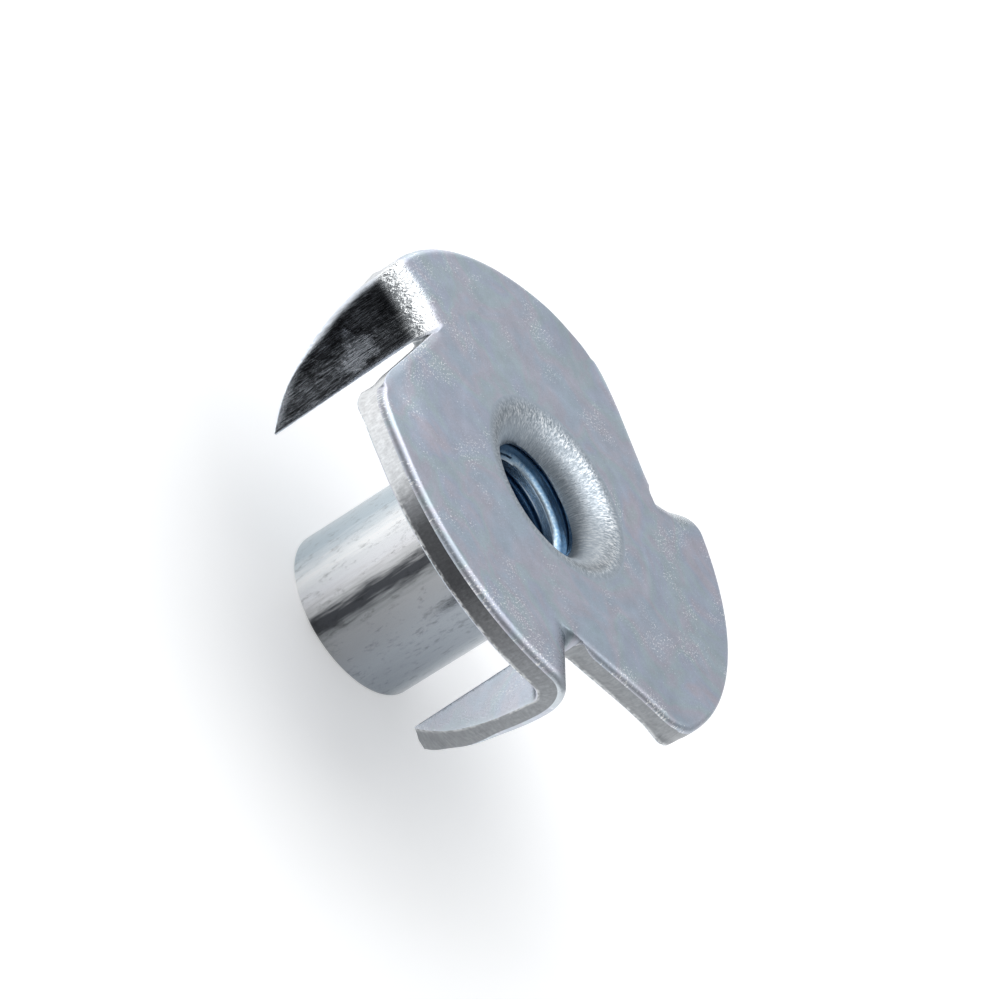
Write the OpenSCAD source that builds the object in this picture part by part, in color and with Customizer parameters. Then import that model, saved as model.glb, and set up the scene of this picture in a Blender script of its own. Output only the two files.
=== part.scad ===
// Tee nut: one round blank of sheet steel with a barrel drawn out of its middle, three prongs
// cut into its rim and bent down, and a bore for the thread.
// The barrel's free end stands on z = 0, the bore's axis is Z, and the flange is on top.

/* [Flange] */
// Diameter of the round blank that the flange and its prongs are cut from
flange_d = 19.05; // [17:0.05:24]
// Thickness of the sheet
sheet = 1; // [0.8:0.05:1.25]
// Radius that the cutting punches roll onto the edges of the outer face
edge_roll = 0.33; // [0.1:0.01:0.38]
// Radius of each flange corner, where a prong's cut runs out at the rim
corner_r = 0.4; // [0.4:0.05:0.8]

/* [Barrel] */
// Height from the barrel's free end to the flange's outer face
total_h = 9.3; // [8.5:0.1:16]
// Outside diameter of the barrel
barrel_d = 6.35; // [5.6:0.05:8]
// Diameter of the bore, measured at the crests of the thread
bore_d = 4; // [3.3:0.05:4.8]
// Radius of the mouth, where the outer face turns down into the bore
mouth_r = 1.45; // [1.1:0.05:1.8]
// Radius of the inside corner between the flange and the barrel
root_r = 0.4; // [0.2:0.05:0.8]
// Radius round the outside of the barrel's free end
end_r = 0.2; // [0.1:0.05:0.4]
// Chamfer of the bore at the barrel's free end
lead_in = 0.3; // [0.1:0.05:0.4]

/* [Prongs] */
// Number of prongs
prongs = 3; // [3:1:4]
// Distance from the flange's outer face to the tip of a prong that is bent square
prong_h = 6.95; // [5:0.05:8]
// Width of the flat that is left at the tip
tip_w = 0.1; // [0.05:0.05:0.5]
// Gap that the shear leaves between a prong and the flange
shear_gap = 0.28; // [0.1:0.02:0.3]
// Angle that the second prong is bent through, where the others are bent square
short_angle = 70; // [60:1:80]
// Inside radius of the bend
bend_r = 0.45; // [0.3:0.05:0.8]
// How far the bend starts ahead of the middle of the prong's cut
bend_lead = 0.5; // [0.2:0.05:1]
// How far the bend draws in from the rim and from the cut, where the metal stretches
bend_draw = 0.1; // [0.08:0.01:0.15]
// How far the bend's inner face swells out past the rim, where the metal is squeezed
bend_swell = 0.12; // [0.08:0.01:0.2]
// Distance from the outer face to the start of the facet that points the tip
facet_h = 3.2; // [2.5:0.1:4]
// Width of that facet across the prong's inner face, at the tip
facet_w = 0.6; // [0.3:0.05:0.8]

/* [Hidden] */
$fn = 128;
zinc = "#a9afb9";
clear = 1;                           // how far a cutting shape runs past what it cuts

flange_r = flange_d / 2;
barrel_r = barrel_d / 2;
bore_r = bore_d / 2;
seat_z = total_h - sheet;            // the flange's underside, which meets the wood

// A prong's sizes in the flat blank. Across is the distance from the bore's axis, square to
// the prong's cut, and along is the distance that the cut has run from its middle.
bend_outer_r = bend_r + sheet;
neutral_r = bend_r + 0.45 * sheet;   // the fibre that keeps its length in the bend
tip_along = bend_along(90) + prong_h - bend_outer_r;
facet_along = bend_along(90) + facet_h - bend_outer_r;
prong_across = sqrt(pow(flange_r, 2) - pow(tip_along, 2)) - tip_w;
cut_across = prong_across - shear_gap;
bend_across = flange_r - bend_draw;

// The flange's corner, where the cut meets the rim. Its round meets both at a slight angle, so
// its middle lies a little less than its radius from each.
corner_meet = 20;
corner_inset = corner_r * cos(corner_meet);
corner_x = cut_across - corner_inset;
corner_y = sqrt(pow(flange_r - corner_inset, 2) - pow(corner_x, 2));
corner_angle = atan2(corner_y, corner_x);

// How far along the cut a bend through this angle has run when it ends.
function bend_along(angle) = neutral_r * PI * angle / 180 - bend_lead;

// A rectangle whose far corner is rounded.
module rounded_square(size, r) {
    square([size.x - r, size.y]);
    square([size.x, size.y - r]);
    translate([size.x - r, size.y - r]) circle(r);
}

// What a round of radius r leaves of the square corner that it touches.
module corner_waste(r) {
    difference() {
        square(r + clear);
        circle(r);
    }
}

// Half section of the blank with its barrel drawn, from the bore's axis outwards.
module drawn_section() {
    difference() {
        union() {
            translate([0, seat_z]) rounded_square([flange_r, sheet], edge_roll);
            translate([0, seat_z]) mirror([0, 1]) rounded_square([barrel_r, seat_z], end_r);
            translate([barrel_r, seat_z - root_r]) difference() {
                square(root_r);
                translate([root_r, 0]) circle(root_r);
            }
        }
        square([bore_r, total_h]);
        polygon([[0, 0], [bore_r + lead_in, 0], [bore_r, lead_in], [0, lead_in]]);
        translate([bore_r, total_h - mouth_r]) difference() {
            square(mouth_r);
            translate([mouth_r, 0]) circle(mouth_r);
        }
    }
}

// Plan of what a prong leaves open in the flange once it is bent down.
module prong_gap() {
    translate([cut_across, -bend_lead]) square([flange_r, flange_r + clear]);
    translate([corner_x, corner_y]) difference() {
        reach = corner_r + clear;
        half = corner_angle / 2;
        polygon([[0, 0], [reach, 0], reach / cos(half) * [cos(half), sin(half)],
                 reach * [cos(corner_angle), sin(corner_angle)]]);
        circle(corner_r);
    }
}

// The roll along a prong's cut, from the end of the slit out past the rim.
module cut_roll() {
    slit_y = shear_gap / 2 - bend_lead;
    translate([cut_across - edge_roll, flange_r, total_h - edge_roll]) rotate([90, 0, 0])
        linear_extrude(flange_r - slit_y) corner_waste(edge_roll);
    translate([cut_across + shear_gap / 2, slit_y, total_h - edge_roll])
        rotate([0, 0, 180]) rotate_extrude(angle = 180) intersection() {
            translate([shear_gap / 2 + edge_roll, 0]) mirror([1, 0]) corner_waste(edge_roll);
            square(2 * edge_roll + clear);
        }
}

// Section of the bend: its distance from the bend's own axis, then its distance across.
module bend_section() {
    translate([bend_r, prong_across + bend_draw])
        rounded_square([sheet, bend_across - prong_across - bend_draw], edge_roll);
    translate([bend_r, bend_across])
        polygon([[0, 0], [sheet - edge_roll, 0], [0, bend_draw + bend_swell]]);
}

// The bend that carries a prong, about its own axis, with the flange at the top.
module bend(angle) {
    difference() {
        rotate([90, 0, 90]) rotate_extrude(angle = 90) bend_section();
        rotate([90 - angle, 0, 0]) translate([prong_across - clear, 0, -flange_r])
            cube([flange_r, flange_r, flange_r]);
    }
}

// The straight part of a prong, down from the end of its bend at z = 0, with its outer face
// towards +Y. Its curved edge is the blank's own rim, turned down.
module blade(angle) {
    blade_h = tip_along - bend_along(angle);
    intersection() {
        translate([0, 0, bend_along(angle)]) rotate([-90, 0, 0])
            rotate_extrude() rounded_square([flange_r, sheet], edge_roll);
        translate([prong_across, -clear, -blade_h]) cube([flange_r, sheet + 2 * clear, blade_h]);
    }
}

// The facet that points a prong. It widens down the inner face, and meets the outer face
// only at the tip.
module facet(angle) {
    run = prong_h - facet_h;
    lean = atan(facet_w / run);
    turn = atan(run * sin(lean) / sheet);
    translate([prong_across, 0, bend_along(angle) - facet_along])
        rotate([0, -lean, 0]) rotate([0, 0, turn])
            translate([-run, -run, -2 * run]) cube([run, 3 * run, 3 * run]);
}

// The children, turned to where this prong stands.
module at_prong(i) {
    rotate([0, 0, i * 360 / prongs]) children();
}

// The blank with its barrel drawn and its prongs' gaps opened.
module flange_and_barrel() {
    difference() {
        rotate_extrude() drawn_section();
        for (i = [0:prongs - 1]) at_prong(i) {
            translate([0, 0, seat_z - clear]) linear_extrude(sheet + 2 * clear) prong_gap();
            cut_roll();
        }
    }
}

// A prong over +X, bent down through this angle.
module prong(angle) {
    translate([0, -bend_lead, total_h - bend_outer_r]) {
        bend(angle);
        rotate([90 - angle, 0, 0]) translate([0, bend_r, 0]) difference() {
            blade(angle);
            facet(angle);
        }
    }
}

module tee_nut() {
    color(zinc) {
        flange_and_barrel();
        for (i = [0:prongs - 1]) at_prong(i) prong(i == 1 ? short_angle : 90);
    }
}

tee_nut();
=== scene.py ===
"""The looks of a pronged tee nut, pressed from one round blank of sheet steel and zinc plated.

Sizes are in millimetres until the mesh is finished, and in the CAD frame: the barrel's free end
stands on z = 0, the bore's axis is Z, and the first prong's cut is square to +X.
"""
import math

import bmesh
import bpy
from mathutils import Matrix, Vector


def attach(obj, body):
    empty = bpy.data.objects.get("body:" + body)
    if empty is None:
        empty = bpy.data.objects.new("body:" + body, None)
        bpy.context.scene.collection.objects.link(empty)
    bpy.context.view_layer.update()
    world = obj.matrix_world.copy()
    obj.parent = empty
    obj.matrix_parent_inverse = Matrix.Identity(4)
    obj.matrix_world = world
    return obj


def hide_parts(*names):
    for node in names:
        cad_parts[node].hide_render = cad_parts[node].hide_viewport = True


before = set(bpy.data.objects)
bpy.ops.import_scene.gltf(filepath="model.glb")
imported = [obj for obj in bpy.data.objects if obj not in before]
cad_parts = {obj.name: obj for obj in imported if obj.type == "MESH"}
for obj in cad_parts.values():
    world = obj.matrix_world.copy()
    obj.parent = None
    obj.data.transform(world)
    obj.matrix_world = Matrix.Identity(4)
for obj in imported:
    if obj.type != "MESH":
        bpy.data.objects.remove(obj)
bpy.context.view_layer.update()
MM = 0.001

# The blank
RIM_R = 9.525
SHEET = 1.0
FACE_Z = 9.3
ROLL = 0.27
CORNER_R = 0.75
BLANK_STEPS = 360
HUB_R = 3.9

# The barrel, its mouth and its thread
BARREL_R = 3.175
END_R = 0.2
ROOT_R = 0.4
MOUTH_R = 1.53
MOUTH_IN_R = 2.12
CREST_R = 2.0
THREAD_ROOT_R = 2.415
PITCH = 1.058
CREST_W = 0.24
FLANK_W = 0.40
CREST_Z = 7.42
CREST_ANGLE = math.radians(24.35)
LEAD_IN = 0.3
RUN_OUT_Z = 8.3
RUN_OUT_SLOPE = 0.5
BORE_TOP_Z = 8.86
BLUE_TOP_Z = 8.16
THREAD_STEPS = 240

# The prongs, measured in the flat blank: across is the distance from the bore's axis, square to
# the prong's cut, and along is the distance that the cut has run from its middle.
CUT_ACROSS = 6.83
PRONG_ACROSS = 6.95
CUT_START = 0.95
CUT_SLOPE = 0.17
TIP_ALONG = 6.42
BEND_R = 0.45
NEUTRAL = 0.45
# Where each prong stands, the angle of its bend, where along the cut the bend starts, how much
# later it starts beside the cut, the round on the flange's side of the cut, how far the flange is
# drawn down round the cut's end, the facet's width, and how far the tip's outer face is spread
PRONGS = ((0, 88, -0.36, 0.3, 0.1, 0.2, 0.6, 0.05), (120, 70, -0.5, 0.45, 0.02, 0.07, 0.6, 0.0),
          (240, 88.4, -0.47, 0.0, 0.22, 0.09, 0.22, 0.12))
FACET_ALONG = 2.66
PRONG_ROLL = 0.36
# At the tip the outer face is pulled this much longer than the middle, and the inner one less.
TIP_SLANT = 0.12


def polar(v):
    return math.hypot(v.x, v.y), math.atan2(v.y, v.x)


def turned(degrees):
    return Matrix.Rotation(math.radians(degrees), 3, "Z")


def extrude_ring(bm, ring, radius, z):
    """Extrudes a ring of edges to another radius and height, and returns the new ring."""
    made = bmesh.ops.extrude_edge_only(bm, edges=ring)["geom"]
    for v in (g for g in made if isinstance(g, bmesh.types.BMVert)):
        a = math.atan2(v.co.y, v.co.x)
        v.co = Vector((radius * math.cos(a), radius * math.sin(a), z))
    return [g for g in made if isinstance(g, bmesh.types.BMEdge)
            and all(abs(math.hypot(v.co.x, v.co.y) - radius) < 1e-5 and abs(v.co.z - z) < 1e-5
                    for v in g.verts)]


def roll_steps(radius, degrees=11.25):
    """Distances in from an edge that draw a quarter round evenly."""
    n = round(90 / degrees)
    return [radius * (1 - math.cos(math.radians(i * degrees))) for i in range(1, n + 1)]


def blank_face(bm):
    """The blank's outer face, flat at z = 0, as rings that close up towards the rim."""
    ring = bmesh.ops.create_circle(bm, segments=BLANK_STEPS, radius=HUB_R)["verts"]
    ring = list({e for v in ring for e in v.link_edges})
    inner = RIM_R - 0.45
    radii = [HUB_R + (inner - HUB_R) * i / 16 for i in range(1, 17)]
    radii += [RIM_R - 0.36] + sorted(RIM_R - d for d in roll_steps(ROLL)) + [RIM_R]
    for r in radii:
        ring = extrude_ring(bm, ring, r, 0)


def cut_blank(bm, degrees):
    """Cuts one prong free of the flange, and adds the rows that its edges and bend need."""
    turn = turned(degrees)
    across, along = turn @ Vector((1, 0, 0)), turn @ Vector((0, 1, 0))

    def near():
        faces = [f for f in bm.faces if f.calc_center_median() @ across > 5.9
                 and f.calc_center_median() @ along > -1.3]
        return list({g for f in faces for g in (f, *f.edges, *f.verts)})

    def split(where, normal):
        bmesh.ops.bisect_plane(bm, geom=near(), dist=1e-5, plane_co=normal * where, plane_no=normal)

    for where in roll_steps(ROLL):
        split(CUT_ACROSS - where, across)
    for where in (-0.5, 0, 0.03, 0.06, 0.09):
        split(CUT_ACROSS + where, across)
    for where in (0, 0.03, 0.07, 0.13, 0.22, 0.36):
        split(PRONG_ACROSS + where, across)
    for i in range(-18, 8):
        split(CUT_START + 0.1 * i, along)
    for i in range(0, 12):
        split(1.9 + 0.38 * i, along)
    split(TIP_ALONG, along)
    waste = [f for f in bm.faces if f.calc_center_median() @ across > CUT_ACROSS
             and f.calc_center_median() @ along > CUT_START
             and (f.calc_center_median() @ across < PRONG_ACROSS
                  or f.calc_center_median() @ along > TIP_ALONG)]
    bmesh.ops.delete(bm, geom=waste, context="FACES")


def wall_depths(bm, rows):
    """Gives the blank its thickness, with rows of faces down its sheared walls."""
    top = bm.faces[:]
    lower = bmesh.ops.extrude_face_region(bm, geom=top, use_keep_orig=True)["geom"]
    lower = [g for g in lower if isinstance(g, bmesh.types.BMVert)]
    bmesh.ops.translate(bm, verts=lower, vec=(0, 0, -SHEET))
    sides = [e for e in bm.edges if abs(e.verts[0].co.z - e.verts[1].co.z) > SHEET / 2]
    hub = [e for e in sides if polar(e.verts[0].co)[0] < HUB_R + 0.01]
    walls = [f for e in hub for f in e.link_faces]
    bmesh.ops.delete(bm, geom=list(set(walls)), context="FACES")
    sides = [e for e in bm.edges if abs(e.verts[0].co.z - e.verts[1].co.z) > SHEET / 2]
    bmesh.ops.subdivide_edges(bm, edges=sides, cuts=rows - 1, use_grid_fill=True)


def quarter_drop(distance, radius):
    """How far a rounded edge has fallen at this distance in from it."""
    if distance >= radius:
        return 0.0
    return radius - math.sqrt(radius ** 2 - (radius - distance) ** 2)


def ease(t):
    t = min(max(t, 0.0), 1.0)
    return t * t * (3 - 2 * t)


def bent(across, along, depth, bend, start):
    """Carries a point of the flat prong round its bend. Also gives how far it has turned."""
    neutral = BEND_R + NEUTRAL * SHEET
    outer = BEND_R + SHEET
    turn = min(max((along - start) / neutral, 0.0), bend)
    past = max(along - start - neutral * bend, 0.0)
    y = min(along, start) + (outer - depth) * math.sin(turn) + past * math.cos(bend)
    z = -outer + (outer - depth) * math.cos(turn) - past * math.sin(bend)
    return Vector((across, y, z)), turn


def rounded_corner(across, rim_gap, depth):
    """Moves a point of the flange near a corner so that the corner comes out round. It is
    sharper on the underside, where the shear left a burr."""
    size = CORNER_R * (1 - 0.45 * ease((depth - 0.55) / 0.45))
    p1, p2 = 1 - rim_gap / size, 1 - (CUT_ACROSS - across) / size
    if p1 <= 0 or p2 <= 0:
        return None
    k = max(p1, p2) / math.hypot(p1, p2)
    r = RIM_R - size * (1 - p1 * k)
    across = CUT_ACROSS - size * (1 - p2 * k)
    return across, math.sqrt(r * r - across * across)


def shape_blank(bm):
    """Rounds the blank's edges and corners, lets its corners droop, and bends its prongs down."""
    flat = bm.verts.layers.float_vector.new("blank")
    edge = bm.verts.layers.float.new("edge")
    worked_and_painted_light = bm.verts.layers.float.new("worked_and_painted_light")
    drawn = bm.verts.layers.float_vector.new("drawn")
    crimped_and_painted_highlight = bm.verts.layers.float.new("crimped_and_painted_highlight")
    middle = (CUT_ACROSS + PRONG_ACROSS) / 2
    for v in bm.verts:
        depth = -v.co.z / SHEET
        v[flat] = v.co
        r, angle = polar(v.co)
        place, bend, start, later, cut_round, reach, facet, spread = min(
            PRONGS, key=lambda p: abs((math.degrees(angle) - p[0] - 21 + 180) % 360 - 180))
        turn = turned(place)
        p = turn.inverted() @ v.co
        across, along = p.x, p.y
        v[drawn] = p
        start += later * ease(1 - (across - CUT_ACROSS) / 1.5)
        on_prong = across > middle and along > CUT_START + 1e-4
        rim_gap = RIM_R - r if RIM_R - r > 1e-3 else 0.0
        side_gap = max(CUT_ACROSS - across, across - PRONG_ACROSS, 0.0)
        cut_gap = math.hypot(side_gap, max(CUT_START - along, 0.0))
        v[edge] = min(rim_gap, cut_gap)
        side = ease((across - CUT_ACROSS) / (PRONG_ACROSS - CUT_ACROSS))
        cut_roll = 0.02 + (cut_round - 0.02) * ease((along - CUT_START) / 0.9)
        cut_roll += (0.12 - cut_roll) * side
        under_roll = 0.03 + 0.2 * side * ease((along - CUT_START) / 0.6)
        rim_roll = ROLL + (PRONG_ROLL - ROLL) * side * ease((along + 0.3) / 1.2)
        rim_roll *= 1 - 0.95 * side * ease((along - 2.6) / 2.4)
        top = max(quarter_drop(rim_gap, rim_roll), quarter_drop(cut_gap, cut_roll))
        under = max(quarter_drop(rim_gap, 0.05), quarter_drop(cut_gap, under_roll))
        tear = 0.035 * ease((depth - 0.45) / 0.3) * max(1 - v[edge] / 0.33, 0)
        deep = top + depth * (SHEET - top - under)
        if along > 4 and across < middle:
            across, along = rounded_corner(across, rim_gap, depth) or (across, along)
        out = Vector((across, along, 0)).normalized()
        if cut_gap < rim_gap and along > CUT_START:
            out = Vector((-1 if on_prong else 1, 0, 0))
        far = (Vector((across, along, 0)) - Vector((6.45, 6.8, 0))).length
        droop = 0.10 * ease(1 - far / 2.6) + 0.10 * ease(1 - far / 0.9) * ease((depth - 0.4) / 0.6)
        lie = Vector((across, along, -deep - droop)) - out * tear
        slope = CUT_SLOPE * ease((along - CUT_START) / 0.6) * (1 - ease((along - 5.4) / 1.0))
        lie.x -= slope * ease((depth - 0.3) / 0.7) * max(1 - cut_gap / 0.8, 0)
        reach *= 1 - ease((along - CUT_START) / (2 * reach))
        share = ease((across - CUT_ACROSS + reach) / (PRONG_ACROSS - CUT_ACROSS + 2 * reach))
        if along < start or share == 0:
            v.co = turn @ lie
            continue
        at_tip = ease((along - 4.4) / 2)
        stretch = TIP_SLANT * at_tip * (1 - 2 * depth)
        wide = across + spread * at_tip * (1 - depth) * ease((along - 5) / 1)
        hang, lean = bent(wide, along + stretch, deep, math.radians(bend), start)
        swell = math.sin(math.pi * min(max((along - start - 0.1) / 1.7, 0), 1)) ** 2
        swell *= (0.14 * depth - 0.05) * max(1 - rim_gap / 1.2, 0)
        hang += Vector((out.x, out.y * math.cos(lean), -out.y * math.sin(lean))) * (swell - tear)
        # Painted light: the prong at 120 degrees keeps its full marks from working and bending and the
        # others 0.4 of them. This sets how dark each blade and how white each bend is painted, and how
        # burnished each is.
        prong_painted_light = 1.0 if place == 120 else 0.4
        v[worked_and_painted_light] = share * ease(lean / 0.5) * prong_painted_light
        v[crimped_and_painted_highlight] = share * ease(lean / 0.4) * ease((math.radians(bend) - lean) / 0.3) * prong_painted_light
        v.co = turn @ (lie + (hang - lie) * share)


def point_prongs(bm):
    """Cuts the slanted facet that points each prong."""
    middle = (CUT_ACROSS + PRONG_ACROSS) / 2
    for degrees, bend, start, later, cut_round, reach, facet, spread in PRONGS:
        turn = turned(degrees)
        a = turn @ Vector((PRONG_ACROSS, FACET_ALONG, -SHEET))
        b = turn @ Vector((PRONG_ACROSS + facet, TIP_ALONG, -SHEET))
        c = turn @ Vector((PRONG_ACROSS, TIP_ALONG, 0))
        normal = (b - a).cross(c - a).normalized()
        if normal @ (turn @ Vector((-1, 0, 0))) < 0:
            normal.negate()
        inverse = turn.inverted()
        faces = [f for f in bm.faces if (inverse @ f.calc_center_median()).x > middle
                 and (inverse @ f.calc_center_median()).y > FACET_ALONG - 0.5]
        geom = list({g for f in faces for g in (f, *f.edges, *f.verts)})
        cut = bmesh.ops.bisect_plane(bm, geom=geom, dist=1e-5, plane_co=a, plane_no=normal,
                                     clear_outer=True)["geom_cut"]
        bmesh.ops.holes_fill(bm, edges=[e for e in cut if isinstance(e, bmesh.types.BMEdge)])


def mouth_radius(z):
    """Radius of the bell mouth at this height, and of the small ledge where the thread begins."""
    up = z - (FACE_Z - MOUTH_R)
    return MOUTH_IN_R + (MOUTH_R - math.sqrt(MOUTH_R ** 2 - up ** 2) if up > 0 else 4 * up)


def thread_radius(z, angle):
    """Radius of the thread, which is right-handed, so that it climbs with the angle."""
    at = (z - CREST_Z - PITCH * (angle - CREST_ANGLE) / math.tau + PITCH / 2) % PITCH - PITCH / 2
    root = THREAD_ROOT_R - max(z - RUN_OUT_Z, 0) * RUN_OUT_SLOPE
    return CREST_R + (root - CREST_R) * ease((abs(at) - CREST_W / 2) / FLANK_W)


def bore():
    """The threaded bore, as rows that climb with the thread."""
    bm = bmesh.new()
    rows = (-0.12, 0.0, 0.12, 0.20, 0.28, 0.36, 0.44, 0.50, 0.558, 0.618, 0.698, 0.778, 0.858)
    start = CREST_Z - PITCH * CREST_ANGLE / math.tau
    heights = sorted(start + PITCH * turn + row for turn in range(-9, 3) for row in rows)
    low = bmesh.ops.create_vert(bm, co=(THREAD_ROOT_R, 0, heights[0]))["vert"][0]
    for z in heights[1:]:
        made = bmesh.ops.extrude_vert_indiv(bm, verts=[low])["verts"]
        low = made[0]
        low.co.z = z
    bmesh.ops.spin(bm, geom=bm.verts[:] + bm.edges[:], cent=(0, 0, 0), axis=(0, 0, 1),
                   dvec=(0, 0, PITCH / THREAD_STEPS), angle=math.tau, steps=THREAD_STEPS)
    bmesh.ops.remove_doubles(bm, verts=bm.verts, dist=0.003)
    for z, up in ((0.0, -1), (BORE_TOP_Z, 1)):
        bmesh.ops.bisect_plane(bm, geom=bm.verts[:] + bm.edges[:] + bm.faces[:], dist=1e-4,
                               plane_co=(0, 0, z), plane_no=(0, 0, up), clear_outer=True)
    bmesh.ops.bisect_plane(bm, geom=bm.verts[:] + bm.edges[:] + bm.faces[:], dist=1e-4,
                           plane_co=(0, 0, BLUE_TOP_Z), plane_no=(0, 0, 1))
    for v in bm.verts:
        angle = math.atan2(v.co.y, v.co.x)
        lead = CREST_R + LEAD_IN - v.co.z
        r = max(thread_radius(v.co.z, angle), mouth_radius(v.co.z), lead)
        v.co.x, v.co.y = r * math.cos(angle), r * math.sin(angle)
    for f in bm.faces:
        f.material_index = 4 if f.calc_center_median().z > BLUE_TOP_Z else 2
    return bm


def ring_at(bm, radius, z):
    return [e for e in bm.edges if len(e.link_faces) == 1
            and all(abs(polar(v.co)[0] - radius) < 0.01 and abs(v.co.z - z) < 1e-3
                    for v in e.verts)]


def draw_barrel(bm):
    """Draws the mouth and the barrel from the rings that the blank leaves open at its middle."""
    ring = ring_at(bm, HUB_R, FACE_Z)
    for r in (3.8, MOUTH_IN_R + MOUTH_R + 0.05):
        ring = extrude_ring(bm, ring, r, FACE_Z)
    top_angle = math.asin((BORE_TOP_Z + 0.05 - FACE_Z + MOUTH_R) / MOUTH_R)
    for i in range(0, 13):
        a = math.pi / 2 + (top_angle - math.pi / 2) * i / 12
        ring = extrude_ring(bm, ring, MOUTH_IN_R + MOUTH_R * (1 - math.cos(a)),
                            FACE_Z - MOUTH_R + MOUTH_R * math.sin(a))
    mouth = ring
    ring = ring_at(bm, HUB_R, FACE_Z - SHEET)
    seat = FACE_Z - SHEET
    for i in range(0, 7):
        a = math.radians(15 * i)
        ring = extrude_ring(bm, ring, BARREL_R + ROOT_R * (1 - math.sin(a)),
                            seat - ROOT_R * (1 - math.cos(a)))
    for i in range(1, 16):
        ring = extrude_ring(bm, ring, BARREL_R,
                            seat - ROOT_R - (seat - ROOT_R - END_R) * i / 15)
    for i in range(1, 5):
        a = math.radians(22.5 * i)
        ring = extrude_ring(bm, ring, BARREL_R - END_R * (1 - math.cos(a)),
                            END_R * (1 - math.sin(a)))
    ring = extrude_ring(bm, ring, 2.7, 0)
    return mouth, ring


def finished(bm, name, materials):
    """Turns the bmesh, which is in millimetres, into a smooth-shaded object in metres."""
    bmesh.ops.recalc_face_normals(bm, faces=bm.faces)
    bmesh.ops.scale(bm, verts=bm.verts, vec=(MM, MM, MM))
    mesh = bpy.data.meshes.new(name)
    bm.to_mesh(mesh)
    bm.free()
    for m in materials:
        mesh.materials.append(m)
    mesh.shade_smooth()
    mesh.set_sharp_from_angle(angle=math.radians(38))
    piece = bpy.data.objects.new(name, mesh)
    bpy.context.collection.objects.link(piece)
    return piece


def make_nut(materials):
    bm = bmesh.new()
    blank_face(bm)
    for prong in PRONGS:
        cut_blank(bm, prong[0])
    wall_depths(bm, 8)
    for f in bm.faces:
        f.normal_update()
        f.material_index = 1 if abs(f.normal.z) < 0.5 else 0
    point_prongs(bm)
    shape_blank(bm)
    bmesh.ops.translate(bm, verts=bm.verts, vec=(0, 0, FACE_Z))
    mouth, end = draw_barrel(bm)
    thread = bore()
    mesh = bpy.data.meshes.new("thread")
    thread.to_mesh(mesh)
    thread.free()
    bm.from_mesh(mesh)
    bpy.data.meshes.remove(mesh)
    for ring, z in ((mouth, BORE_TOP_Z), (end, 0.0)):
        loop = [e for e in bm.edges if len(e.link_faces) == 1
                and all(abs(v.co.z - z) < 1e-3 and polar(v.co)[0] < 2.65
                        for v in e.verts)]
        bmesh.ops.bridge_loops(bm, edges=ring + loop)
    flat = bm.verts.layers.float_vector["blank"]
    edge = bm.verts.layers.float["edge"]
    for v in bm.verts:
        if polar(v.co)[0] < HUB_R - 0.01:
            v[flat] = v.co - Vector((0, 0, FACE_Z))
            v[edge] = 1.0
    for f in bm.faces:
        r, z = polar(f.calc_center_median())[0], f.calc_center_median().z
        if f.material_index == 0 and z < FACE_Z - 0.5 and r < HUB_R - 0.05:
            f.material_index = 3
        elif f.material_index == 0 and r < MOUTH_IN_R + MOUTH_R:
            f.material_index = 4
    open_edges = [e for e in bm.edges if len(e.link_faces) != 2]
    print("nut", len(bm.verts), "points,", sum(len(f.verts) - 2 for f in bm.faces), "triangles,",
          len(open_edges), "open", [tuple(round(c, 2) for c in e.verts[0].co) for e in open_edges[:6]])
    return finished(bm, "tee_nut_pressed", materials)


def linear(hex_colour):
    """An sRGB hex colour as linear red, green, blue and alpha."""
    parts = [int(hex_colour[i:i + 2], 16) / 255 for i in (1, 3, 5)]
    return [c / 12.92 if c <= 0.04045 else ((c + 0.055) / 1.055) ** 2.4 for c in parts] + [1.0]


def add(tree, kind, links=(), stops=(), **settings):
    """Adds a node, sets its inputs and properties by name, and links sockets into it."""
    node = tree.nodes.new("ShaderNode" + kind)
    for key, value in settings.items():
        if key.startswith("in_"):
            name = key[3:]
            node.inputs[int(name) if name.isdigit() else name.replace("_", " ")].default_value = value
        else:
            setattr(node, key, value)
    for name, socket in links:
        tree.links.new(socket, node.inputs[name])
    while len(stops) > len(node.color_ramp.elements if stops else ()):
        node.color_ramp.elements.new(0.5)
    for i, (position, colour) in enumerate(stops):
        node.color_ramp.elements[i].position = position
        node.color_ramp.elements[i].color = linear(colour)
    return node


def material(name):
    made = bpy.data.materials.new(name)
    made.use_nodes = True
    made.node_tree.nodes.clear()
    return made, made.node_tree


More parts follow.
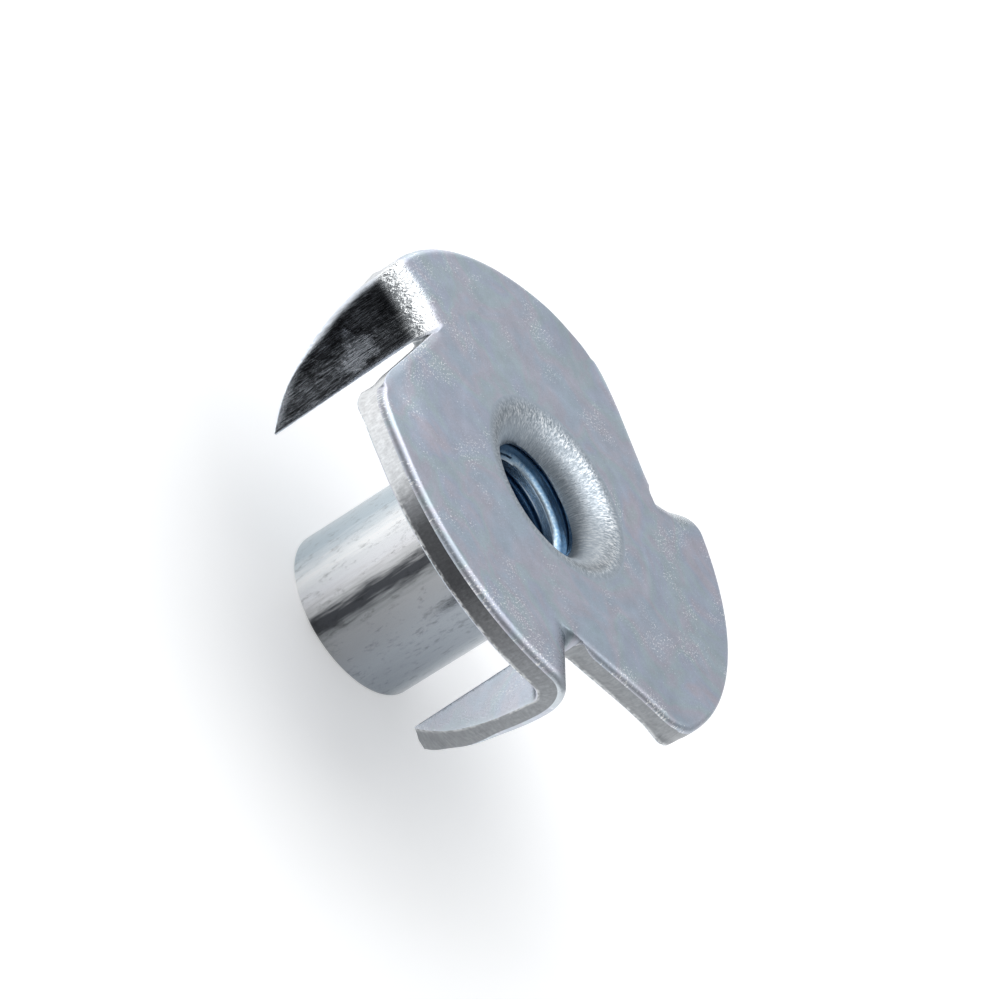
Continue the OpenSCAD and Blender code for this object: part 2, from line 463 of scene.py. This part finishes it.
def zinc_sheet():
    """Bright zinc with a thin blue passivation on cold rolled sheet: a soft metallic grey, with
    faint blue, green and pink clouds, a fine sparkle that comes in patches and gathers along the
    rolled edges, and a burnished gloss where it was bent. Light is painted into it too: a painted
    highlight along the rolled edges and across the prongs' bends, painted shade darkening the
    prongs' outer faces, and painted light on their inner faces."""
    made, t = material("bright zinc on rolled sheet")
    blank = add(t, "Attribute", attribute_name="blank").outputs["Vector"]
    edge = add(t, "Attribute", attribute_name="edge").outputs["Fac"]
    worked_and_painted_light = add(t, "Attribute", attribute_name="worked_and_painted_light").outputs["Fac"]
    clouds = add(t, "TexNoise", [("Vector", blank)], in_Scale=1 / 3.0, in_Detail=4.0,
                 in_Roughness=0.5, in_Distortion=0.5)
    tint = add(t, "ValToRGB", [("Fac", clouds.outputs["Fac"])],
               stops=((0.28, "#b5c5cf"), (0.38, "#b8c3d1"), (0.46, "#c2c2ce"), (0.52, "#b9c7ce"),
                      (0.58, "#b9c2d2"), (0.66, "#c4c1cd"), (0.74, "#bec6cc")))
    tone = add(t, "TexNoise", [("Vector", blank)], in_Scale=1 / 0.9, in_Detail=5.0, in_Roughness=0.7)
    shade = add(t, "MapRange", [("Value", tone.outputs["Fac"])], in_1=0.3, in_2=0.7, in_3=0.90,
                in_4=1.08)
    grain = add(t, "TexNoise", [("Vector", blank)], in_Scale=1 / 0.07, in_Detail=2.0)
    shade = add(t, "Math", [(0, grain.outputs["Fac"]), (2, shade.outputs[0])],
                operation="MULTIPLY_ADD", in_1=0.4)
    shade = add(t, "Math", [(0, shade.outputs[0])], operation="SUBTRACT", in_1=0.2)
    # The blank holder left a faint ring round the mouth, 4.9 mm out and 0.5 mm wide.
    ring = add(t, "VectorMath", [(0, clouds.outputs["Color"]), (2, blank)],
               operation="MULTIPLY_ADD", in_1=(1.6, 1.6, 0.0))
    ring = add(t, "VectorMath", [(0, ring.outputs[0])], operation="SUBTRACT", in_1=(0.8, 0.8, 0.0))
    ring = add(t, "VectorMath", [(0, ring.outputs[0])], operation="MULTIPLY", in_1=(1.0, 1.0, 0.0))
    ring = add(t, "VectorMath", [(0, ring.outputs[0])], operation="LENGTH")
    ring = add(t, "Math", [(0, ring.outputs["Value"])], operation="SUBTRACT", in_1=4.9)
    ring = add(t, "Math", [(0, ring.outputs[0])], operation="ABSOLUTE")
    ring = add(t, "MapRange", [("Value", ring.outputs[0])], in_1=0.0, in_2=0.25, in_3=0.05,
               in_4=0.0)
    shade = add(t, "Math", [(0, shade.outputs[0]), (1, ring.outputs[0])], operation="ADD")
    colour = add(t, "VectorMath", [(0, tint.outputs["Color"]), ("Scale", shade.outputs[0])],
                 operation="SCALE")
    rolled = add(t, "MapRange", [("Value", edge)], in_1=0.0, in_2=0.35, in_3=1.0, in_4=0.0)
    patch = add(t, "TexNoise", [("Vector", blank)], in_Scale=1 / 2.2, in_Detail=2.0)
    dense = add(t, "MapRange", [("Value", patch.outputs["Fac"])], in_1=0.48, in_2=0.62,
                in_3=-0.12, in_4=0.01)
    dense = add(t, "Math", [(0, rolled.outputs[0]), (2, dense.outputs[0])],
                operation="MULTIPLY_ADD", in_1=0.07)
    spark = add(t, "Math", [(0, grain.outputs["Fac"]), (1, dense.outputs[0])], operation="ADD")
    spark = add(t, "MapRange", [("Value", spark.outputs[0])], in_1=0.58, in_2=0.67, in_3=0.0,
                in_4=0.9)
    plain = add(t, "Math", [(1, worked_and_painted_light)], operation="SUBTRACT", in_0=1.0)
    spark = add(t, "Math", [(0, spark.outputs[0]), (1, plain.outputs[0])], operation="MULTIPLY")
    # The rolled edges are painted whiter, as painted highlight.
    spark = add(t, "Math", [(0, rolled.outputs[0]), (2, spark.outputs[0])],
                operation="MULTIPLY_ADD", in_1=0.18)
    bright = add(t, "Mix", [(0, spark.outputs[0]), (6, colour.outputs[0])], data_type="RGBA",
                 in_7=linear("#ffffff"))
    dull = add(t, "MapRange", [("Value", grain.outputs["Fac"])], in_1=0.3, in_2=0.7, in_3=0.28,
               in_4=0.40)
    dull = add(t, "Math", [(0, rolled.outputs[0]), (2, dull.outputs[0])],
               operation="MULTIPLY_ADD", in_1=0.18)
    drawn = add(t, "Attribute", attribute_name="drawn").outputs["Vector"]
    crimped_and_painted_highlight = add(t, "Attribute", attribute_name="crimped_and_painted_highlight").outputs["Fac"]
    smear = add(t, "TexNoise", [("Vector", drawn)], in_Scale=1 / 0.9, in_Detail=5.0,
                in_Roughness=0.6)
    haze = add(t, "MapRange", [("Value", smear.outputs["Fac"])], in_1=0.45, in_2=0.65, in_3=0.10,
               in_4=0.19)
    burnish = add(t, "Mix", [(0, worked_and_painted_light), (2, dull.outputs[0]), (3, haze.outputs[0])])
    # A scratch is about 0.05 mm wide and 0.5 mm long, down the prong.
    along = add(t, "VectorMath", [(0, drawn)], operation="MULTIPLY", in_1=(24.0, 2.2, 24.0))
    lines = add(t, "TexNoise", [("Vector", along.outputs[0])], in_Scale=1.0, in_Detail=3.0,
                in_Roughness=0.65, in_Distortion=1.0)
    scratch = add(t, "MapRange", [("Value", lines.outputs["Fac"])], in_1=0.40, in_2=0.70,
                  in_3=0.14, in_4=1.1)
    local = add(t, "SeparateXYZ", [("Vector", drawn)])
    # The blade is rubbed in broad patches, and it is lighter towards its tip.
    rubbed = add(t, "MapRange", [("Value", smear.outputs["Fac"])], in_1=0.35, in_2=0.65, in_3=0.5,
                 in_4=1.5)
    far = add(t, "MapRange", [("Value", local.outputs["Y"])], in_1=1.2, in_2=4.2, in_3=0.65,
              in_4=1.4)
    rubbed = add(t, "Math", [(0, rubbed.outputs[0]), (1, far.outputs[0])], operation="MULTIPLY")
    scratch = add(t, "Math", [(0, scratch.outputs[0]), (1, rubbed.outputs[0])],
                  operation="MULTIPLY")
    # The bending tool rubs each prong at one spot, about 1 mm long.
    spot = add(t, "VectorMath", [(0, smear.outputs["Color"]), (2, drawn)],
               operation="MULTIPLY_ADD", in_1=(2.2, 2.2, 0.0))
    spot = add(t, "VectorMath", [(0, spot.outputs[0])], operation="DISTANCE",
               in_1=(8.77, 3.6, 0.0))
    spot = add(t, "MapRange", [("Value", spot.outputs["Value"])], in_1=0.5, in_2=0.66, in_3=0.95,
               in_4=0.0)
    # The prong's edges are painted lighter over 0.2 mm, as painted highlight on the rolled edges.
    edge_painted_highlight = add(t, "MapRange", [("Value", edge)], in_1=0.03, in_2=0.24, in_3=1.6, in_4=0.0)
    spot = add(t, "Math", [(0, spot.outputs[0]), (1, edge_painted_highlight.outputs[0])], operation="ADD")
    scratch = add(t, "Math", [(0, scratch.outputs[0]), (1, spot.outputs[0])], operation="ADD")
    # The blade's outer face is painted dark, as painted shade, under its scratches and rubbed patches,
    # and its inner face is painted pale, as painted light.
    scratches_and_painted_light = add(t, "VectorMath", [("Scale", scratch.outputs[0])], operation="SCALE",
                    in_0=linear("#9fa3a9")[:3])
    inside = add(t, "MapRange", [("Value", local.outputs["Z"])], in_1=-0.4, in_2=-0.6, in_3=0.0,
                 in_4=1.0)
    scratches_and_painted_light = add(t, "Mix", [(0, inside.outputs[0]), (6, scratches_and_painted_light.outputs[0])],
                    data_type="RGBA", in_7=linear("#dbe2e9"))
    # The bends are painted near white where they were crimped, as painted highlight.
    painted_bend_highlight = add(t, "Mix", [(0, crimped_and_painted_highlight), (6, scratches_and_painted_light.outputs[2])], data_type="RGBA",
                    in_7=linear("#f3f5f6"))
    skin = add(t, "Mix", [(0, worked_and_painted_light), (6, bright.outputs[2]), (7, painted_bend_highlight.outputs[2])],
               data_type="RGBA")
    wrinkle = add(t, "TexNoise", [("Vector", blank)], in_Scale=1 / 0.17, in_Detail=2.0,
                  in_Roughness=0.55, in_Distortion=1.5)
    height = add(t, "Mix", [(0, crimped_and_painted_highlight), (2, lines.outputs["Fac"]), (3, wrinkle.outputs["Fac"])])
    height = add(t, "Math", [(0, height.outputs[0]), (1, worked_and_painted_light)], operation="MULTIPLY")
    outside = add(t, "Math", [(1, inside.outputs[0])], operation="SUBTRACT", in_0=1.0)
    height = add(t, "Math", [(0, height.outputs[0]), (1, outside.outputs[0])],
                 operation="MULTIPLY")
    steep = add(t, "Math", [(0, crimped_and_painted_highlight)], operation="MULTIPLY_ADD", in_1=0.6, in_2=0.2)
    rough = add(t, "Math", [(0, rolled.outputs[0])], operation="MULTIPLY_ADD", in_1=0.5, in_2=0.15)
    pits = add(t, "Bump", [("Height", grain.outputs["Fac"]), ("Strength", rough.outputs[0])],
               in_Distance=1e-5)
    bump = add(t, "Bump", [("Height", height.outputs[0]), ("Strength", steep.outputs[0]),
                           ("Normal", pits.outputs[0])], in_Distance=1.1e-4)
    shader = add(t, "BsdfPrincipled", [("Base Color", skin.outputs[2]),
                                       ("Roughness", burnish.outputs[0]),
                                       ("Normal", bump.outputs[0])], in_Metallic=1.0)
    add(t, "OutputMaterial", [("Surface", shader.outputs["BSDF"])])
    return made


def zinc_edge():
    """The same zinc over a sheared edge: striped down the sheet's thickness by the shear and mottled
    where it tore, with a fine burr along the underside. Its colour round the nut is painted
    reflection, light in most places with a dark streak on one side."""
    made, t = material("zinc on a sheared edge")
    blank = add(t, "Attribute", attribute_name="blank").outputs["Vector"]
    long = add(t, "VectorMath", [(0, blank)], operation="MULTIPLY", in_1=(1.0, 1.0, 0.25))
    stripes = add(t, "TexNoise", [("Vector", long.outputs[0])], in_Scale=1 / 0.09, in_Detail=4.0,
                  in_Roughness=0.7)
    stray = add(t, "VectorMath", [(0, stripes.outputs["Color"]), (2, blank)],
                operation="MULTIPLY_ADD", in_1=(0.9, 0.9, 0.0))
    stray = add(t, "VectorMath", [(0, stray.outputs[0])], operation="SUBTRACT",
                in_1=(0.45, 0.45, 0.0))
    # Painted reflection: the colour is set by the angle round the axis, near white from about 160 to
    # 185 degrees, a dark streak from about 195 to 215 degrees, and lighter and darker greys elsewhere.
    around = add(t, "TexGradient", [("Vector", stray.outputs[0])], gradient_type="RADIAL")
    rim_painted_reflection = add(t, "ValToRGB", [("Fac", around.outputs["Fac"])],
                stops=((0.0, "#e0e2e4"), (0.016, "#d2d4d6"), (0.032, "#7d7f82"),
                       (0.048, "#4c4d4f"), (0.083, "#434446"), (0.111, "#68696b"),
                       (0.139, "#818386"), (0.167, "#909396"), (0.20, "#94979a"),
                       (0.28, "#94979a"),
                       (0.34, "#8a8d91"), (0.42, "#c6cacc"), (0.55, "#b0b3b6"),
                       (0.62, "#898c90"), (0.70, "#a9acaf"), (0.80, "#c9cccf"),
                       (0.94, "#dfe1e2"), (0.97, "#e2e3e4"), (1.0, "#dcdee0")))
    tear = add(t, "TexNoise", [("Vector", blank)], in_Scale=1 / 0.2, in_Detail=4.0)
    shade = add(t, "MapRange", [("Value", stripes.outputs["Fac"])], in_1=0.35, in_2=0.65,
                in_3=0.84, in_4=1.08)
    mottle = add(t, "MapRange", [("Value", tear.outputs["Fac"])], in_1=0.35, in_2=0.65,
                 in_3=0.93, in_4=1.07)
    shade = add(t, "Math", [(0, shade.outputs[0]), (1, mottle.outputs[0])], operation="MULTIPLY")
    low = add(t, "SeparateXYZ", [("Vector", blank)])
    burr = add(t, "MapRange", [("Value", low.outputs["Z"])], in_1=-0.84, in_2=-0.95, in_3=0.0,
               in_4=0.8)
    ragged = add(t, "MapRange", [("Value", tear.outputs["Fac"])], in_1=0.42, in_2=0.58,
                 in_3=0.15, in_4=0.9)
    burr = add(t, "Math", [(0, burr.outputs[0]), (1, ragged.outputs[0])], operation="MULTIPLY")
    tint = add(t, "VectorMath", [(0, rim_painted_reflection.outputs["Color"]), ("Scale", shade.outputs[0])],
               operation="SCALE")
    tint = add(t, "Mix", [(0, burr.outputs[0]), (6, tint.outputs[0])], data_type="RGBA",
               in_7=linear("#dcdedf"))
    both = add(t, "Math", [(0, stripes.outputs["Fac"]), (1, tear.outputs["Fac"])], operation="ADD")
    bump = add(t, "Bump", [("Height", both.outputs[0])], in_Strength=0.28, in_Distance=2e-5)
    shader = add(t, "BsdfPrincipled", [("Base Color", tint.outputs[2]), ("Normal", bump.outputs[0])],
                 in_Metallic=1.0, in_Roughness=0.3)
    add(t, "OutputMaterial", [("Surface", shader.outputs["BSDF"])])
    return made


def zinc_thread():
    """Thicker blue passivation, which gathers in the thread: blue, painted deeper blue in the
    grooves as painted shade, and bright where the crests catch the light and are painted paler."""
    made, t = material("blue zinc in the thread")
    where = add(t, "TexCoord").outputs["Object"]
    mm = add(t, "VectorMath", [(0, where)], operation="SCALE", in_Scale=1000.0)
    specks = add(t, "TexNoise", [("Vector", mm.outputs[0])], in_Scale=1 / 0.12, in_Detail=3.0)
    tint = add(t, "ValToRGB", [("Fac", specks.outputs["Fac"])],
               stops=((0.3, "#7fa3c4"), (0.5, "#9dbdd6"), (0.7, "#c4d8e6")))
    # The grooves, from 2.1 mm from the axis, are painted deeper blue as painted shade, and the crests
    # are painted paler as painted highlight.
    out = add(t, "VectorMath", [(0, mm.outputs[0])], operation="MULTIPLY", in_1=(1.0, 1.0, 0.0))
    out = add(t, "VectorMath", [(0, out.outputs[0])], operation="LENGTH")
    groove_painted_shade = add(t, "MapRange", [("Value", out.outputs["Value"])], in_1=2.1, in_2=2.25, in_3=0.0,
                 in_4=0.85)
    tint = add(t, "Mix", [(0, groove_painted_shade.outputs[0]), (6, tint.outputs[0])], data_type="RGBA",
               in_7=linear("#35597c"))
    crest_painted_highlight = add(t, "MapRange", [("Value", out.outputs["Value"])], in_1=2.0, in_2=2.14, in_3=0.5,
                in_4=0.0)
    tint = add(t, "Mix", [(0, crest_painted_highlight.outputs[0]), (6, tint.outputs[2])], data_type="RGBA",
               in_7=linear("#f4f7f9"))
    bump = add(t, "Bump", [("Height", specks.outputs["Fac"])], in_Strength=0.25, in_Distance=1.5e-5)
    shader = add(t, "BsdfPrincipled", [("Base Color", tint.outputs[2]), ("Normal", bump.outputs[0])],
                 in_Metallic=1.0, in_Roughness=0.26)
    add(t, "OutputMaterial", [("Surface", shader.outputs["BSDF"])])
    return made


def zinc_barrel():
    """Zinc over the drawn barrel, with fine draw lines and small scuffs. Its long bright and dark
    bands all round, set by the angle round the axis, are painted reflection."""
    made, t = material("zinc on the drawn barrel")
    where = add(t, "TexCoord").outputs["Object"]
    mm = add(t, "VectorMath", [(0, where)], operation="SCALE", in_Scale=1000.0)
    long = add(t, "VectorMath", [(0, mm.outputs[0])], operation="MULTIPLY", in_1=(1.0, 1.0, 0.1))
    lines = add(t, "TexNoise", [("Vector", long.outputs[0])], in_Scale=1 / 0.12, in_Detail=3.0)
    stray = add(t, "VectorMath", [(0, lines.outputs["Color"]), (2, mm.outputs[0])],
                operation="MULTIPLY_ADD", in_1=(0.7, 0.7, 0.0))
    stray = add(t, "VectorMath", [(0, stray.outputs[0])], operation="SUBTRACT",
                in_1=(0.35, 0.35, 0.0))
    # Painted reflection: the colour is set by the angle round the axis, with a dark stripe from about
    # 195 to 200 degrees, the brightest band from about 160 to 170 degrees, and lighter and darker
    # bands elsewhere.
    around = add(t, "TexGradient", [("Vector", stray.outputs[0])], gradient_type="RADIAL")
    barrel_painted_reflection = add(t, "ValToRGB", [("Fac", around.outputs["Fac"])],
                  stops=((0.0, "#e6e7ea"), (0.012, "#dcdcde"), (0.028, "#c2c3c4"),
                         (0.041, "#4c4e52"), (0.058, "#484a4e"), (0.074, "#989b9d"),
                         (0.090, "#a6a8ab"), (0.16, "#a9afb6"), (0.24, "#959da5"),
                         (0.36, "#bcc3c9"), (0.40, "#83888d"), (0.43, "#bcc3c9"),
                         (0.52, "#e4e8ea"), (0.62, "#d3d9df"), (0.68, "#a2a8ad"),
                         (0.71, "#c6cdd3"), (0.82, "#aebcc3"), (0.91, "#c0ccd3"),
                         (0.94, "#e2e7ea"), (0.962, "#fbfcfc"), (0.98, "#e9ebed"),
                         (1.0, "#e6e7ea")))
    short = add(t, "VectorMath", [(0, mm.outputs[0])], operation="MULTIPLY", in_1=(1.0, 1.0, 0.4))
    scuffs = add(t, "TexNoise", [("Vector", short.outputs[0])], in_Scale=1 / 0.25, in_Detail=6.0,
                 in_Roughness=0.75)
    shade = add(t, "MapRange", [("Value", scuffs.outputs["Fac"])], in_1=0.31, in_2=0.46, in_3=0.6,
                in_4=0.93)
    tint = add(t, "VectorMath", [(0, barrel_painted_reflection.outputs["Color"]), ("Scale", shade.outputs[0])],
               operation="SCALE")
    both = add(t, "Math", [(0, scuffs.outputs["Fac"]), (1, lines.outputs["Fac"])], operation="ADD")
    bump = add(t, "Bump", [("Height", both.outputs[0])], in_Strength=0.35, in_Distance=1.5e-5)
    shader = add(t, "BsdfPrincipled", [("Base Color", tint.outputs[0]), ("Normal", bump.outputs[0])],
                 in_Metallic=1.0, in_Roughness=0.2)
    add(t, "OutputMaterial", [("Surface", shader.outputs["BSDF"])])
    return made


def zinc_mouth():
    """Zinc in the bell mouth, where the sheet was drawn down: bright, with short draw lines that
    run into the bore and glitter."""
    made, t = material("zinc in the drawn mouth")
    blank = add(t, "Attribute", attribute_name="blank").outputs["Vector"]
    flat = add(t, "VectorMath", [(0, blank)], operation="MULTIPLY", in_1=(1.0, 1.0, 0.0))
    out = add(t, "VectorMath", [(0, flat.outputs[0])], operation="LENGTH")
    around = add(t, "VectorMath", [(0, flat.outputs[0])], operation="NORMALIZE")
    # A draw line is about 0.06 mm wide and 0.14 mm long, 3 mm from the axis.
    width = add(t, "VectorMath", [(0, around.outputs[0])], operation="SCALE", in_Scale=3 / 0.06)
    run = add(t, "Math", [(0, out.outputs["Value"])], operation="DIVIDE", in_1=0.14)
    run = add(t, "CombineXYZ", [("Z", run.outputs[0])])
    place = add(t, "VectorMath", [(0, width.outputs[0]), (1, run.outputs[0])], operation="ADD")
    rays = add(t, "TexNoise", [("Vector", place.outputs[0])], in_Scale=1.0, in_Detail=2.0,
               in_Roughness=0.55, in_Distortion=0.7)
    tint = add(t, "ValToRGB", [("Fac", rays.outputs["Fac"])],
               stops=((0.36, "#8b959d"), (0.50, "#b2bac1"), (0.64, "#eceff1")))
    steep = add(t, "MapRange", [("Value", out.outputs["Value"])], in_1=2.55, in_2=3.05, in_3=1.0,
                in_4=0.0)
    pale = add(t, "Math", [(0, steep.outputs[0])], operation="MULTIPLY", in_1=0.5)
    tint = add(t, "Mix", [(0, pale.outputs[0]), (6, tint.outputs["Color"])], data_type="RGBA",
               in_7=linear("#e3edf6"))
    dull = add(t, "Math", [(0, steep.outputs[0])], operation="MULTIPLY_ADD", in_1=0.1, in_2=0.32)
    fade = add(t, "MapRange", [("Value", out.outputs["Value"])], in_1=3.2, in_2=3.67, in_3=1.0,
               in_4=0.0)
    tint = add(t, "Mix", [(0, fade.outputs[0]), (7, tint.outputs[2])], data_type="RGBA",
               in_6=linear("#bac5d0"))
    # The mouth is painted darker on one side as painted shade: within 3.1 mm of the axis from about
    # 280 to 350 degrees round, and beyond 3.35 mm from about 300 to 40 degrees round, fading out by
    # 3.64 mm.
    turn = add(t, "TexGradient", [("Vector", blank)], gradient_type="RADIAL")
    inner = add(t, "ValToRGB", [("Fac", turn.outputs["Fac"])],
                stops=((0.20, "#f4f4f4"), (0.235, "#dcdcdc"), (0.278, "#c6c6c6"),
                       (0.32, "#b8b8b8"), (0.40, "#b6b6b6"), (0.43, "#bebebe"),
                       (0.46, "#d2d2d2"), (0.50, "#f0f0f0"), (0.53, "#ffffff")))
    outer = add(t, "ValToRGB", [("Fac", turn.outputs["Fac"])],
                stops=((0.27, "#ffffff"), (0.36, "#d8d8d8"), (0.43, "#cacaca"),
                       (0.52, "#d2d2d2"), (0.60, "#e2e2e2"), (0.66, "#ffffff")))
    rim = add(t, "MapRange", [("Value", out.outputs["Value"])], in_1=3.1, in_2=3.35, in_3=0.0,
              in_4=1.0)
    mouth_painted_shade = add(t, "Mix", [(0, rim.outputs[0]), (6, inner.outputs["Color"]),
                            (7, outer.outputs["Color"])], data_type="RGBA")
    flush = add(t, "MapRange", [("Value", out.outputs["Value"])], in_1=3.42, in_2=3.64, in_3=0.0,
                in_4=1.0)
    mouth_painted_shade = add(t, "Mix", [(0, flush.outputs[0]), (6, mouth_painted_shade.outputs[2])], data_type="RGBA",
                 in_7=linear("#ffffff"))
    tint = add(t, "VectorMath", [(0, tint.outputs[2]), (1, mouth_painted_shade.outputs[2])],
               operation="MULTIPLY")
    fade = add(t, "Math", [(0, fade.outputs[0])], operation="MULTIPLY_ADD", in_1=0.7, in_2=0.08)
    bump = add(t, "Bump", [("Height", rays.outputs["Fac"]), ("Strength", fade.outputs[0])],
               in_Distance=2e-5)
    shader = add(t, "BsdfPrincipled", [("Base Color", tint.outputs[0]),
                                       ("Roughness", dull.outputs[0]),
                                       ("Normal", bump.outputs[0])], in_Metallic=1.0)
    add(t, "OutputMaterial", [("Surface", shader.outputs["BSDF"])])
    return made


def studio():
    """A pale floor, a soft room that is bright over the nut and dark behind the camera."""
    bm = bmesh.new()
    bmesh.ops.create_grid(bm, x_segments=2, y_segments=2, size=2.0)
    mesh = bpy.data.meshes.new("floor")
    bm.to_mesh(mesh)
    bm.free()
    floor = bpy.data.objects.new("floor", mesh)
    floor.location.z = 0
    bpy.context.collection.objects.link(floor)
    paint, t = material("matt white paint")
    rays = add(t, "LightPath")
    seen = add(t, "Math", [(0, rays.outputs["Is Camera Ray"]), (1, rays.outputs["Is Glossy Ray"])],
               operation="MAXIMUM")
    seen = add(t, "Math", [(0, seen.outputs[0]), (1, rays.outputs["Is Transmission Ray"])],
               operation="MAXIMUM")
    lift = add(t, "Math", [(0, seen.outputs[0])], operation="MULTIPLY", in_1=0.42)
    matt = add(t, "BsdfDiffuse", in_Color=linear("#e3e3e3"))
    glow = add(t, "Emission", [("Strength", lift.outputs[0])])
    both = add(t, "AddShader", [(0, matt.outputs[0]), (1, glow.outputs[0])])
    add(t, "OutputMaterial", [("Surface", both.outputs[0])])
    mesh.materials.append(paint)

    world = bpy.data.worlds.new("room")
    bpy.context.scene.world = world
    world.use_nodes = True
    t = world.node_tree
    t.nodes.clear()
    where = add(t, "TexCoord")
    toward = add(t, "VectorMath", [(0, where.outputs["Generated"])], operation="DOT_PRODUCT",
                 in_1=(0.55, 0.24, 0.80))
    spread = add(t, "MapRange", [("Value", toward.outputs["Value"])], in_1=-1.0, in_2=1.0)
    ramp = add(t, "ValToRGB", [("Fac", spread.outputs["Result"])],
               stops=((0.0, "#303132"), (0.31, "#343537"), (0.37, "#4a4c4f"), (0.43, "#64676a"),
                      (0.54, "#7a7d80"), (0.66, "#94979a"), (0.80, "#abaeb1"),
                      (1.0, "#c0c3c7")))
    back = add(t, "Background", [("Color", ramp.outputs["Color"])], in_Strength=1.0)
    add(t, "OutputWorld", [("Surface", back.outputs[0])])


def lamp(name, azimuth, elevation, distance, size, watts):
    """A soft square lamp that looks at the nut from this direction."""
    data = bpy.data.lights.new(name, "AREA")
    data.shape = "SQUARE"
    data.size = size
    data.energy = watts
    made = bpy.data.objects.new(name, data)
    a, e = math.radians(azimuth), math.radians(elevation)
    way = Vector((math.cos(a) * math.cos(e), math.sin(a) * math.cos(e), math.sin(e)))
    made.location = way * distance
    made.rotation_euler = way.to_track_quat("Z", "Y").to_euler()
    bpy.context.collection.objects.link(made)


def camera():
    data = bpy.data.cameras.new("camera")
    data.sensor_width = 36
    data.lens = 198.56
    data.clip_start = 0.01
    made = bpy.data.objects.new("camera", data)
    right = Vector((0.54653, -0.33737, 0.76647))
    down = Vector((0.14676, -0.86251, -0.48429))
    forward = Vector((0.82448, 0.37717, -0.42188))
    turn = Matrix((right, -down, -forward)).transposed().to_4x4()
    made.matrix_world = Matrix.Translation(Vector((-156.366, -70.769, 87.074)) * MM) @ turn
    bpy.context.collection.objects.link(made)
    bpy.context.scene.camera = made


bpy.context.scene.view_settings.view_transform = "Standard"
camera()
studio()
lamp("large soft box overhead", 25, 84, 0.6, 0.68, 1.4)
lamp("soft box at the side", 75, 36, 0.6, 0.75, 2.4)
nut = make_nut([zinc_sheet(), zinc_edge(), zinc_thread(), zinc_barrel(), zinc_mouth()])
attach(nut, "root")
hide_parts("tee_nut")
